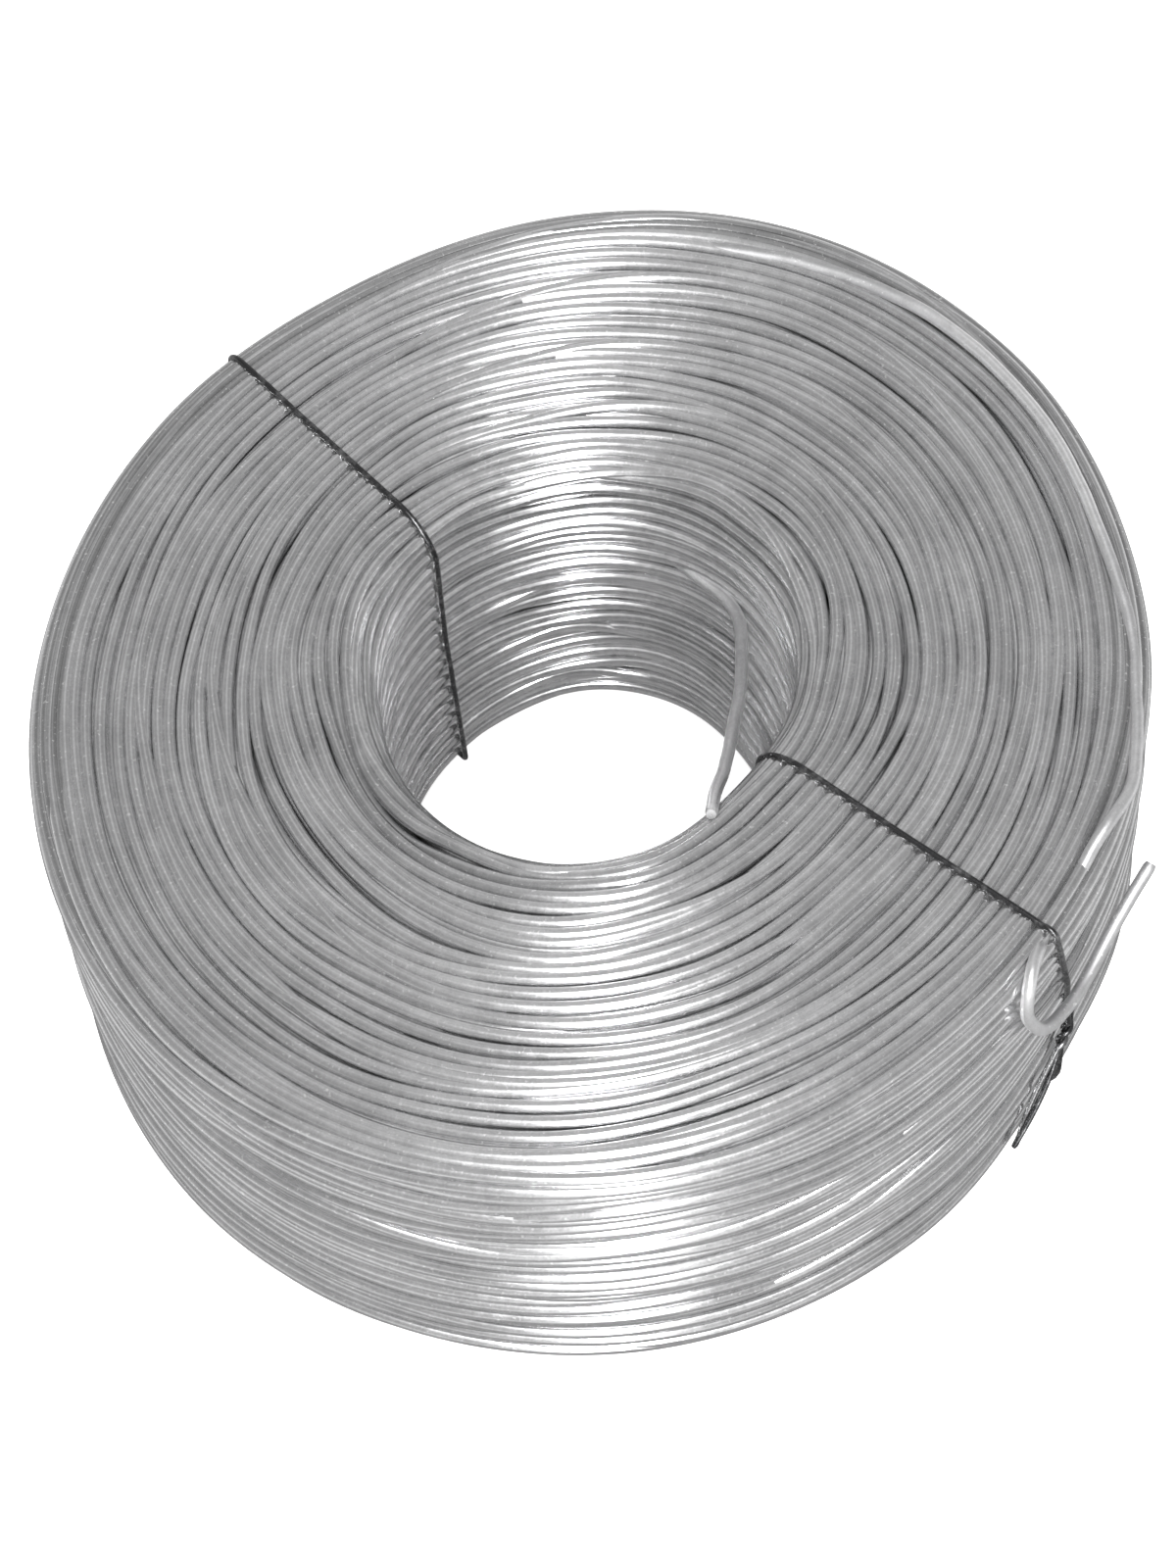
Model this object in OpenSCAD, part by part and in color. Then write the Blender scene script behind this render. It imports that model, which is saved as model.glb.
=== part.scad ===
// A wound coil of galvanised binding wire, lying flat, held by two thin wire ties.
// Origin at the middle of its foot, +Z up. The front right tie holds the hooked outer end.

/* [Ring] */
// Outside diameter at the top shoulder
top_d = 126; // [110:1:170]
// Outside diameter that the side wall aims at by the foot
belly_d = 130; // [112:1:180]
// Height of the ring
coil_h = 53; // [40:1:90]
// Bore diameter at the top
bore_top_d = 46; // [36:1:60]
// Bore diameter at the foot
bore_foot_d = 52; // [38:1:66]
// Rounding where the top meets the outer wall
shoulder_r = 2.6; // [1.8:0.1:8]
// Rounding where the outer wall meets the foot
heel_r = 10; // [3:0.5:14]
// Rounding of the bore's foot edge
toe_r = 1.2; // [1:0.1:4]
// Rounding of the bore's top edge
lip_r = 6; // [2:0.5:10]

/* [Binding wire] */
// Diameter of the wire
wire_d = 1.6; // [1:0.1:2]
// Spacing of neighbouring turns, less than the wire because they nest
turn_step = 1.39; // [0.8:0.01:1.5]
// How far the foot's turns are bedded flat where they bear
foot_flat = 0.1; // [0.05:0.01:0.2]
// Clearance of a loose end from the turns that it lies on
lay_gap = 0.08; // [0.05:0.01:0.2]

/* [Ties] */
// Diameter of the tie wire
tie_d = 0.9; // [0.6:0.1:1.4]
// Clearance of a tie from the turns that it holds
tie_gap = 0.1; // [0.05:0.01:0.2]
// Angle of the left tie round the ring, at the shoulder
left_tie_az = 128.4; // [100:0.2:160]
// How far the left tie's plane lies from the ring's axis
left_tie_miss = 1.8; // [0:0.1:6]
// Angle of the right tie round the ring, at the shoulder
right_tie_az = -41.6; // [-55:0.2:-30]
// How far the right tie's plane lies from the ring's axis
right_tie_miss = 2.9; // [0:0.1:6]
// How far round from its shoulder the right tie's twist stands
right_knot_shift = 2.4; // [0:0.1:5]
// How far below the shoulder the left tie's twist starts
left_knot_drop = 3.5; // [3:0.5:14]
// How far above the heel the right tie's twist starts
right_knot_rise = 13.9; // [8:0.1:15]
// Length of one full turn of the twist
twist_pitch = 4.4; // [3.5:0.1:8]
// Length of the twisted tail
twist_len = 15; // [10:0.5:18]
// Lean of the twisted tail from upright
twist_lean = 38; // [20:1:45]

/* [Loose ends] */
// Where the right tie holds the outer end: 90 is on the top, 0 on the outer wall
tuck_angle = 57; // [50:1:90]
// How far below the shoulder the hook's return leg runs
hook_drop = 11.5; // [9:0.1:14]
// How far the outer tip stands out from the wall
tip_out = 2.6; // [1:0.1:5]
// How far below the top the inner end leaves the bore wall
inner_drop = 17.4; // [12:0.2:24]
// How far the inner end bows into the bore
inner_bow = 6.3; // [4:0.1:9]

/* [Hidden] */
$fn = 96;

corner_steps = 8;
tube_sides = 8;
wire_r = wire_d / 2;
tie_r = tie_d / 2;
tie_off = tie_r + tie_gap;
lay_off = wire_r + lay_gap;
steel = [0.62, 0.63, 0.65];
dark_steel = [0.16, 0.16, 0.17];

// The ring's section: foot inside, foot outside, top outside, top inside. The floor cuts the foot turns flat
section = [[bore_foot_d / 2, -foot_flat], [belly_d / 2, -foot_flat], [top_d / 2, coil_h], [bore_top_d / 2, coil_h]];
section_r = [toe_r, heel_r, shoulder_r, lip_r];

function unit(v) = v / norm(v);
function corner(i) = section[(i + 4) % 4];
function side_normal(i) = let (t = unit(corner(i + 1) - corner(i))) [t[1], -t[0]];
function angle_of(v) = atan2(v[1], v[0]);
function facing(t) = [cos(t), sin(t)];
function corner_centre(i) = let (a = side_normal(i - 1), b = side_normal(i))
    corner(i) - section_r[i] * (a + b) / (1 + a * b);

// One rounded corner of the section, moved outwards by off, as [radius, height] points
function arc(centre, r, a, b) = [for (k = [0:corner_steps]) centre + r * facing(a + (b - a) * k / corner_steps)];
function corner_arc(i, off) = let (
        a = angle_of(side_normal(i - 1)),
        b = angle_of(side_normal(i))
    )
    arc(corner_centre(i), section_r[i] + off, a, a + (b - a + 720) % 360);
function section_path(off) = [for (i = [0:3]) each corner_arc(i, off)];
heel = corner_centre(1);
shoulder = corner_centre(2);
lip = corner_centre(3);

// Distance along a path at each of its points, and the point at one distance
function run_lengths(p) = [for (i = 0, s = 0; i < len(p); s = s + (i + 1 < len(p) ? norm(p[i + 1] - p[i]) : 0),
    i = i + 1) s];
function at_length(p, runs, s) = let (x = [for (i = [0:len(p) - 1]) [runs[i], p[i][0]]],
        y = [for (i = [0:len(p) - 1]) [runs[i], p[i][1]]])
    [lookup(s, x), lookup(s, y)];

turn_loop = let (p = section_path(-wire_r)) concat(p, [p[0]]);
turn_runs = run_lengths(turn_loop);
loop_len = turn_runs[len(turn_runs) - 1];
turn_count = round(loop_len / turn_step);

// Outer and bore wall radii at one height
function outer_r(z) = (belly_d + (top_d - belly_d) * z / coil_h) / 2;
function bore_r(z) = (bore_foot_d + (bore_top_d - bore_foot_d) * z / coil_h) / 2;
function polar(r, az, z) = [r * cos(az), r * sin(az), z];
function turned(q, az) = polar(q[0], az, q[1]);

// A round tube along points: frames are carried along without twisting
function tangents(p) = [for (i = [0:len(p) - 1])
    unit(p[min(i + 1, len(p) - 1)] - p[max(i - 1, 0)])];
function carried(u, t) = unit(u - (u * t) * t);
function first_side(t) = carried(abs(t[2]) < 0.9 ? [0, 0, 1] : [1, 0, 0], t);
function sides_along(t) = [for (i = 0, u = first_side(t[0]); i < len(t); i = i + 1,
    u = i < len(t) ? carried(u, t[i]) : u) u];

module tube(p, r) {
    t = tangents(p);
    u = sides_along(t);
    n = len(p);
    ring = [for (i = [0:n - 1]) let (v = cross(t[i], u[i])) for (k = [0:tube_sides - 1])
        let (a = 360 * (k + 0.5) / tube_sides) p[i] + r * (cos(a) * u[i] + sin(a) * v)];
    walls = [for (i = [0:n - 2]) for (k = [0:tube_sides - 1]) let (
            a = i * tube_sides + k,
            b = i * tube_sides + (k + 1) % tube_sides
        )
        each [[a, b + tube_sides, b], [a, a + tube_sides, b + tube_sides]]];
    caps = [[for (k = [0:tube_sides - 1]) k],
        [for (k = [tube_sides - 1:-1:0]) (n - 1) * tube_sides + k]];
    polyhedron(points = ring, faces = concat(walls, caps), convexity = 10);
}

// A smooth curve through points, with steps pieces between each two
function bend(a, b, c, d, t) = 0.5 * (2 * b + (c - a) * t + (2 * a - 5 * b + 4 * c - d) * t * t
    + (3 * b - a - 3 * c + d) * t * t * t);
function smooth(p, steps) = let (n = len(p)) concat(
    [for (i = [0:n - 2]) for (k = [0:steps - 1])
        bend(i > 0 ? p[i - 1] : 2 * p[0] - p[1], p[i], p[i + 1], i + 2 < n ? p[i + 2] : 2 * p[n - 1] - p[n - 2],
            k / steps)],
    [p[n - 1]]);

// A tie lies in an upright plane that passes the ring's axis at the distance miss
function tie_az(r, az, miss) = az + asin(miss / r) - asin(2 * miss / top_d);

// Its slot across the foot, so that the ring bears on its turns and not on the tie
slot_w = tie_d + 4 * tie_gap;
slot_h = tie_d + 3 * tie_gap;
foot_z = slot_h - tie_off;
heel_start = [heel[0] + sqrt(pow(heel_r + tie_off, 2) - pow(heel[1] - foot_z, 2)), foot_z];
toe_run = arc([bore_r(slot_h), slot_h], tie_off, angle_of(side_normal(3)) + 360, 270);
module foot_slot(az, miss, shift) {
    inner = toe_run[corner_steps];
    from = polar(inner[0], tie_az(inner[0], az, miss), 0);
    run = polar(heel_start[0], az + shift, 0) - from;
    translate(from) rotate([0, 0, angle_of(run)]) translate([-3 * tie_d, -slot_w / 2, -1])
        cube([norm(run) + 4 * tie_d, slot_w, slot_h + 1]);
}

module turns_section() {
    intersection() {
        union() {
            polygon(section_path(-wire_r));
            for (i = [0:turn_count - 1])
                translate(at_length(turn_loop, turn_runs, loop_len * i / turn_count)) circle(r = wire_r, $fn = 32);
        }
        square([belly_d, coil_h]);
    }
}

module wire_coil() {
    color(steel) difference() {
        rotate_extrude() turns_section();
        foot_slot(left_tie_az, left_tie_miss, 0);
        foot_slot(right_tie_az, right_tie_miss, right_knot_shift);
    }
}

// The tie's run over the shoulder. The right tie humps over the outer end, which lies at tuck_angle
tuck_gap = 2 * lay_gap;
hump_off = wire_r + tuck_gap + tie_r;
tucked = shoulder + (shoulder_r + lay_off) * facing(tuck_angle);
hump_side = 65;
function over_shoulder(humped) = humped
    ? concat(
        [for (t = [0:15:tuck_angle - 0.75 * hump_side]) shoulder + (shoulder_r + tie_off) * facing(t)],
        arc(tucked, hump_off, tuck_angle - hump_side, tuck_angle + hump_side),
        [[tucked[0] - 2 * hump_off, coil_h + tie_off]])
    : corner_arc(2, tie_off);

// The twist: two strands wind about a line that lies on the outer wall
twist_gap = 0.06;
strand_off = tie_r + twist_gap / 2;
twist_off = strand_off + tie_off + twist_gap;
twist_steps = 44;
function twist_axis(az, z, s) = let (
        zz = z - s * cos(twist_lean),
        turn = s * sin(twist_lean) / outer_r(z) * 180 / PI
    )
    polar(outer_r(zz) + twist_off, az - turn, zz);
function twist_strand(az, z, phase) = [for (k = [0:twist_steps]) let (
        s = twist_len * k / twist_steps,
        c = twist_axis(az, z, s),
        t = unit(twist_axis(az, z, s + twist_len / twist_steps) - c),
        u = carried([cos(az), sin(az), 0], t),
        v = cross(t, u),
        a = phase + 360 * s / twist_pitch
    )
    c + strand_off * (cos(a) * u + sin(a) * v)];

// The upper leg comes off the wall at lead_rise above the twist. The lower leg rises beside the twist's start
lead_rise = 2.8 * tie_d;
leg_drop = tie_d;
leg_run = 6.5 * tie_d;
leg_side = 2 * tie_d;
module tie(az, miss, shift, knot_z, humped) {
    knot_az = az + shift;
    side = leg_side / outer_r(knot_z) * 180 / PI;
    lead = knot_z + lead_rise;
    leg = knot_z - leg_drop;
    down = twist_strand(knot_az, knot_z, 90);
    path = concat(
        [for (k = [len(down) - 1:-1:0]) down[k]],
        [polar(outer_r(lead) + tie_off + tie_gap, knot_az, lead)],
        [for (q = concat(over_shoulder(humped), corner_arc(3, tie_off), toe_run)) turned(q, tie_az(q[0], az, miss))],
        [turned(heel_start, knot_az)],
        [for (q = corner_arc(1, tie_off)) if (q[1] > 2 * foot_z) turned(q, knot_az)],
        [polar(outer_r(leg - leg_run) + tie_off, knot_az + side, leg - leg_run),
            polar(outer_r(leg) + tie_off + 2 * tie_gap, knot_az + side, leg)],
        twist_strand(knot_az, knot_z, 270));
    color(dark_steel) tube(path, tie_r);
}

left_knot_z = shoulder[1] - left_knot_drop;
right_knot_z = heel[1] + right_knot_rise;

module left_tie() {
    tie(left_tie_az, left_tie_miss, 0, left_knot_z, false);
}

module right_tie() {
    tie(right_tie_az, right_tie_miss, right_knot_shift, right_knot_z, true);
}

// The outer end: points round the shoulder, then points on the wall, from the hook's height up to the shoulder
hook_z = shoulder[1] - hook_drop;
over_tie = tie_off + tie_r + lay_gap;
function on_rim(turn, az) = turned(shoulder + (shoulder_r + lay_off) * facing(turn), right_tie_az + az);
function on_wall(part, az, out = 0) = let (z = hook_z + part * hook_drop)
    polar(outer_r(z) + lay_off + out, right_tie_az + az, z);
hook_crossing = right_knot_shift * hook_drop / (shoulder[1] - right_knot_z);
outer_route = [
    on_rim(90, 106), on_rim(90, 94), on_rim(90, 82), on_rim(90, 70), on_rim(90, 58), on_rim(94, 47), on_rim(88, 38),
    on_rim(74, 30), on_rim(58, 23.5), on_rim(54, 18.5), on_rim(74, 12.5), on_rim(80, 8.5), on_rim(72, 5),
    on_rim(tuck_angle + 5, 2.2), on_rim(tuck_angle, 0), on_rim(tuck_angle - 3, -2.2), on_rim(48, -4.4),
    on_rim(30, -5.8), on_rim(4, -6.4),
    on_wall(0.76, -6.6, 0.3 * over_tie), on_wall(0.52, -6, 0.6 * over_tie), on_wall(0.3, -5, 0.9 * over_tie),
    on_wall(0.13, -3.6, over_tie), on_wall(0.03, -1.6, over_tie), on_wall(0, hook_crossing, over_tie + lay_gap),
    on_wall(0, 3.8, over_tie), on_wall(0.07, 6.8, over_tie), on_wall(0.18, 9.8, 0.2 * over_tie + 0.4 * tip_out),
    on_wall(0.32, 12.8, 0.7 * tip_out), on_wall(0.45, 15.4, tip_out)];
module outer_end() {
    color(steel) tube(smooth(outer_route, 4), wire_r);
}

// The inner end: points on the bore wall, then a run that bows into the bore and rises to the front lip
inner_z = coil_h - inner_drop;
inner_tip = lip + (lip_r + lay_off + lay_gap) * facing(132);
function in_bore(az, bow, rise) = let (z = inner_z + rise * (inner_tip[1] - inner_z))
    polar(bore_r(inner_z) - lay_off - bow * inner_bow, az, z);
inner_route = [
    in_bore(118, 0, 0), in_bore(104, 0, 0), in_bore(90, 0, 0), in_bore(76, 0, 0), in_bore(62, 0, 0),
    in_bore(52, 0, 0), in_bore(44, 0.02, 0.01), in_bore(35, 0.19, 0.03), in_bore(24.5, 0.56, 0.08),
    in_bore(10, 0.86, 0.2), in_bore(-4, 1, 0.32), in_bore(-21, 0.98, 0.46), in_bore(-44, 0.56, 0.7),
    in_bore(-55, 0.2, 0.86), turned(inner_tip, -62)];
module inner_end() {
    color(steel) tube(smooth(inner_route, 4), wire_r);
}

wire_coil();
outer_end();
inner_end();
left_tie();
right_tie();
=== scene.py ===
import bpy
import math
import numpy as np
from mathutils import Matrix, Vector


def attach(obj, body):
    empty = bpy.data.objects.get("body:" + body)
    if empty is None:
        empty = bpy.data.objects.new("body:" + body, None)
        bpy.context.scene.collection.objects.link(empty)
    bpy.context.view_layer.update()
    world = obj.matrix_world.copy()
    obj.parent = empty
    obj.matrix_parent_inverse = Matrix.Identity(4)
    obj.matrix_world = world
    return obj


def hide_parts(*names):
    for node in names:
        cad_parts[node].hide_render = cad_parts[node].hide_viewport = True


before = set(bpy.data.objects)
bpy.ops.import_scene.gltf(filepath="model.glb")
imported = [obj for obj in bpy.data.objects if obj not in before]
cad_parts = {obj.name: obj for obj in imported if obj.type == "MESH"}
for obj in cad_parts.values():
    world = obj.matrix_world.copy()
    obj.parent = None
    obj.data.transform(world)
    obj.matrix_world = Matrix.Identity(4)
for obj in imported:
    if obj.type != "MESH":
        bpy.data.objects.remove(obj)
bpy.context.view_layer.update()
mm = 0.001


# a socket that takes part in Python maths, in shader and geometry trees alike
class Flow:
    def __init__(self, graph, socket):
        self.graph = graph
        self.socket = socket

    def isVector(self):
        return self.socket.type in {"VECTOR", "RGBA"}

    def maths(self, operation, other, swapped=False):
        first, second = (other, self) if swapped else (self, other)
        vector = self.isVector() or (isinstance(other, Flow) and other.isVector())
        if vector:
            first, second = (v if isinstance(v, (Flow, tuple)) else (v, v, v) for v in (first, second))
        kind = "ShaderNodeVectorMath" if vector else "ShaderNodeMath"
        return self.graph.node(kind, {"operation": operation}, {0: first, 1: second})

    def __add__(self, other):
        return self.maths("ADD", other)

    def __radd__(self, other):
        return self.maths("ADD", other, True)

    def __sub__(self, other):
        return self.maths("SUBTRACT", other)

    def __rsub__(self, other):
        return self.maths("SUBTRACT", other, True)

    def __mul__(self, other):
        return self.maths("MULTIPLY", other)

    def __rmul__(self, other):
        return self.maths("MULTIPLY", other, True)

    def __truediv__(self, other):
        return self.maths("DIVIDE", other)

    def __pow__(self, other):
        return self.maths("POWER", other)

    def at(self, name):  # another output of the same node
        return Flow(self.graph, self.socket.node.outputs[name])


class Graph:
    def __init__(self, tree):
        self.tree = tree
        tree.nodes.clear()

    def node(self, kind, settings=None, values=None):
        made = self.tree.nodes.new(kind)
        for name, setting in (settings or {}).items():
            if name == "stops":
                ramp = made.color_ramp
                while len(ramp.elements) < len(setting):
                    ramp.elements.new(0.5)
                for element, (place, tone) in zip(ramp.elements, setting):
                    element.position = place
                    element.color = (tone, tone, tone, 1)
            else:
                setattr(made, name, setting)
        for name, value in (values or {}).items():
            if isinstance(value, Flow):
                self.tree.links.new(value.socket, made.inputs[name])
            else:
                made.inputs[name].default_value = value
        return Flow(self, made.outputs[0]) if made.outputs else made

    def call(self, operation, *values):  # a Math node by its operation
        return self.node("ShaderNodeMath", {"operation": operation}, dict(enumerate(values)))

    def join(self, x, y, z):
        return self.node("ShaderNodeCombineXYZ", None, {0: x, 1: y, 2: z})

    def split(self, vector):
        made = self.node("ShaderNodeSeparateXYZ", None, {0: vector})
        return made.at("X"), made.at("Y"), made.at("Z")

    def noise(self, vector, scale, detail=2.0, roughness=0.5):
        return self.node("ShaderNodeTexNoise", {"noise_dimensions": "3D"},
                         {"Vector": vector, "Scale": scale, "Detail": detail, "Roughness": roughness})

    def ramp(self, factor, stops):  # stops are places from 0 to 1, each with its grey
        return self.node("ShaderNodeValToRGB", {"stops": stops}, {0: factor})

    def mix(self, factor, first, second, blend="MIX"):
        return self.node("ShaderNodeMix", {"data_type": "RGBA", "blend_type": blend},
                         {0: factor, 6: first, 7: second}).at(2)


# the ring's section as the solids have it, in millimetres
ring = {
    "topRadius": 63.0, "bellyRadius": 65.0, "height": 53.0,
    "boreTop": 23.0, "boreFoot": 26.0, "footFlat": 0.1,
    "roundings": [1.2, 10.0, 2.6, 6.0],  # of the toe, heel, shoulder and lip
}
corners = np.array([[ring["boreFoot"], -ring["footFlat"]], [ring["bellyRadius"], -ring["footFlat"]],
                    [ring["topRadius"], ring["height"]], [ring["boreTop"], ring["height"]]])


def unit(v):
    v = np.asarray(v, float)
    return v / np.linalg.norm(v)


def sideNormal(i):
    t = unit(corners[(i + 1) % 4] - corners[i % 4])
    return np.array([t[1], -t[0]])


def cornerCentre(i):
    a, b = sideNormal(i - 1), sideNormal(i)
    return corners[i % 4] - ring["roundings"][i % 4] * (a + b) / (1 + a @ b)


def facing(angle):
    return np.array([math.cos(math.radians(angle)), math.sin(math.radians(angle))])


heel, shoulder, lip = cornerCentre(1), cornerCentre(2), cornerCentre(3)


def cornerArc(i, offset, steps=16):
    a = math.degrees(math.atan2(*sideNormal(i - 1)[::-1]))
    b = math.degrees(math.atan2(*sideNormal(i)[::-1]))
    sweep = (b - a + 720) % 360
    reach = ring["roundings"][i % 4] + offset
    return [cornerCentre(i) + reach * facing(a + sweep * k / steps) for k in range(steps + 1)]


def outerRadius(z):
    return ring["bellyRadius"] + (ring["topRadius"] - ring["bellyRadius"]) * z / ring["height"]


def boreRadius(z):
    return ring["boreFoot"] + (ring["boreTop"] - ring["boreFoot"]) * z / ring["height"]


def polar(radius, angle, z):
    a = math.radians(angle)
    return np.array([radius * math.cos(a), radius * math.sin(a), z])


def turned(point, angle):
    return polar(point[0], angle, point[1])


# The real ring is a little oval, leans, and has its bore off the middle.
# A form is its millimetres, its middle's azimuth and half its width in degrees.
settling = {
    "oval": 0.027, "ovalAngle": 49.0, "lean": (0.56, -0.09), "boreShift": (-0.10, 0.44),
    "footNarrow": (4.4, 18.0, 76.0), "lipNarrow": (1.0, -48.0, 34.0), "leftWide": (1.6, 140.0, 55.0),
    "bulges": [(0.7, 66.0, 34.0), (-0.8, 114.0, 26.0), (-0.6, 10.0, 24.0)],
    "dent": (-1.3, -37.0, 24.0), "rimDip": (1.3, -90.0, 95.0),
    "midRadius": 44.0, "insideFade": 20.0, "outsideFade": 16.0,
    "footFade": 46.0, "leftFade": 30.0, "dentTop": 38.0, "dentFade": 16.0,
}


def swelling(angle, form):  # fades to 0 on both sides of the form's middle
    amount, middle, half = form
    away = np.abs((np.degrees(angle) - middle + 180) % 360 - 180) / half
    return amount * np.where(away < 1, 0.5 + 0.5 * np.cos(np.pi * np.minimum(away, 1)), 0.0)


def settle(points, bore=True):  # millimetres
    p = np.array(points, float)
    radius, angle = np.hypot(p[:, 0], p[:, 1]), np.arctan2(p[:, 1], p[:, 0])
    swell = 1 + settling["oval"] * np.cos(2 * (angle - math.radians(settling["ovalAngle"])))
    lift = p[:, 2] / ring["height"] - 0.5
    inside = np.clip((settling["midRadius"] - radius) / settling["insideFade"], 0, 1)
    outside = np.clip((radius - settling["midRadius"]) / settling["outsideFade"], 0, 1)
    low = np.clip(1 - p[:, 2] / settling["footFade"], 0, 1)
    dented = np.clip((settling["dentTop"] - p[:, 2]) / settling["dentFade"], 0, 1)
    for form in settling["bulges"]:
        radius = radius + outside * swelling(angle, form)
    radius = radius + outside * dented * swelling(angle, settling["dent"])
    high = np.clip(p[:, 2] / settling["leftFade"], 0, 1)
    narrowed = (low * swelling(angle, settling["footNarrow"])
                + (1 - low) * swelling(angle, settling["lipNarrow"])
                - high * swelling(angle, settling["leftWide"]))
    radius = radius - bore * inside ** 0.5 * narrowed
    p[:, 0] = radius * swell * np.cos(angle) + settling["lean"][0] * lift + settling["boreShift"][0] * inside
    p[:, 1] = radius * swell * np.sin(angle) + settling["lean"][1] * lift + settling["boreShift"][1] * inside
    return p


def settleOutside(points):  # for what stays clear of the bore's wall
    return settle(points, False)


def settleRim(points):  # the smooth outermost turns of the rim dip under the others at the front
    p = np.array(points, float)
    angle = np.arctan2(p[:, 1], p[:, 0])
    dip = swelling(angle, settling["rimDip"])
    p[:, 0] -= dip * np.cos(angle)
    p[:, 1] -= dip * np.sin(angle)
    p[:, 2] -= dip
    return settle(p)


def newMaterial(name):
    material = bpy.data.materials.new(name)
    material.use_nodes = True
    return material, Graph(material.node_tree)


def grey(tone):
    return (tone, tone, tone, 1)


# bright zinc: scales in noise cells to the metre, the bump's depth in metres
galvanised = {
    "tint": (0.8, 0.8, 0.805, 1), "shadowTint": (0.42, 0.42, 0.425, 1), "paintedGlintTint": grey(0.95),
    "metallic": 0.92, "bump": 0.000006, "bumpStrength": 0.6,
    "patch": 95.0, "spangle": 900.0, "speckle": 3600.0, "paintedGlint": 2400.0,
    "patchTint": 0.5, "wireTint": 1.3, "tintStart": -0.38,
    "spangleTint": 0.25, "speckleTint": 0.24, "grainStart": 0.76,
    "spangleRough": 0.1, "speckleRough": 0.06, "speckleBump": 0.6,
    "paintedGlintStops": [(0.66, 0.0), (0.74, 1.0)], "paintedGlintShare": 0.55,
}


def makeGalvanised(name, tone=1.0, roughness=0.175, spread=0.14):  # spread is over the tones stored on the wires, their own random tones with painted shade and painted highlights
    look = galvanised
    material, g = newMaterial(name)
    place = g.node("ShaderNodeTexCoord").at("Object")
    each = g.node("ShaderNodeAttribute", {"attribute_name": "wireTone"}).at("Fac")
    patches = g.noise(place, look["patch"], 3.0)
    spangle = g.noise(place, look["spangle"], 2.0, 0.6)
    speckle = g.noise(place, look["speckle"], 2.0, 0.7)
    # the tint runs to the dark tint with random patches and with the stored tones, which carry painted shade
    # and painted highlights
    shade = patches * look["patchTint"] + each * look["wireTint"] + look["tintStart"]
    tint = g.mix(shade, look["shadowTint"], look["tint"])
    grain = spangle * look["spangleTint"] + speckle * look["speckleTint"] + look["grainStart"]
    tint = g.mix(1.0, tint, g.join(grain, grain, grain), "MULTIPLY")
    # a whole copy's tone: painted light or painted shade for the rim, bore, inner turns and ends
    tint = g.mix(1.0, tint, grey(tone), "MULTIPLY")
    # sparse bright dots in the tint: painted glints
    paintedGlint = g.ramp(g.noise(place, look["paintedGlint"], 1.0), look["paintedGlintStops"])
    tint = g.mix(paintedGlint * look["paintedGlintShare"], tint, look["paintedGlintTint"])
    rough = (roughness + (spangle - 0.5) * look["spangleRough"] + (speckle - 0.5) * look["speckleRough"]
             + (each - 0.5) * spread)
    bump = g.node("ShaderNodeBump", None, {"Strength": look["bumpStrength"], "Distance": look["bump"],
                                           "Height": spangle + speckle * look["speckleBump"]})
    shader = g.node("ShaderNodeBsdfPrincipled", None,
                    {"Base Color": tint, "Metallic": look["metallic"], "Roughness": rough, "Normal": bump})
    g.node("ShaderNodeOutputMaterial", None, {"Surface": shader})
    return material


# dark tie wire, worn bright in places by scuffs, and painted lighter along its first tail strand as a painted
# highlight
annealed = {
    "tint": (0.06, 0.06, 0.062, 1), "wornAndLit": (0.36, 0.36, 0.365, 1), "roughness": 0.28, "metallic": 0.9,
    "scuff": 700.0, "scuffStops": [(0.5, 0.0), (0.72, 1.0)], "scuffTint": 0.5,
    "grain": 3600.0, "grainRough": 0.3, "bump": 0.00003, "bumpStrength": 0.5,
}


def makeAnnealed():
    look = annealed
    material, g = newMaterial("annealedTieWire")
    place = g.node("ShaderNodeTexCoord").at("Object")
    scuffs = g.noise(place, look["scuff"], 3.0, 0.6)
    grain = g.noise(place, look["grain"], 2.0, 0.6)
    each = g.node("ShaderNodeAttribute", {"attribute_name": "wireTone"}).at("Fac")
    tint = g.mix(g.ramp(scuffs, look["scuffStops"]) * look["scuffTint"] + each, look["tint"], look["wornAndLit"])
    rough = look["roughness"] + (grain - 0.5) * look["grainRough"]
    bump = g.node("ShaderNodeBump", None, {"Strength": look["bumpStrength"], "Distance": look["bump"],
                                           "Height": grain + scuffs})
    shader = g.node("ShaderNodeBsdfPrincipled", None,
                    {"Base Color": tint, "Metallic": look["metallic"], "Roughness": rough, "Normal": bump})
    g.node("ShaderNodeOutputMaterial", None, {"Surface": shader})
    return material


galvanisedWire = makeGalvanised("galvanisedWire")
# the loose ends: a lighter copy of the wire, painted light, and rougher
galvanisedEndLit = makeGalvanised("galvanisedWireEndLit", 1.14, 0.42, -0.25)
# the rim's outer turns: a darker copy of the wire, painted shade
galvanisedRimShaded = makeGalvanised("galvanisedRimTurnsShaded", 0.66)
# the bore's turns: a lighter copy of the wire, painted light
galvanisedBoreLit = makeGalvanised("galvanisedBoreTurnsLit", 1.24)
# the inner turns: a darker copy of the wire, painted shade
galvanisedCoreShaded = makeGalvanised("galvanisedInnerTurnsShaded", 0.6)
annealedWire = makeAnnealed()
print("materials made")


def newTree(name, inputs):
    tree = bpy.data.node_groups.new(name, "GeometryNodeTree")
    tree.interface.new_socket("Geometry", in_out="INPUT", socket_type="NodeSocketGeometry")
    tree.interface.new_socket("Geometry", in_out="OUTPUT", socket_type="NodeSocketGeometry")
    for label, kind in inputs:
        tree.interface.new_socket(label, in_out="INPUT", socket_type="NodeSocket" + kind)
    return tree


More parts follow.
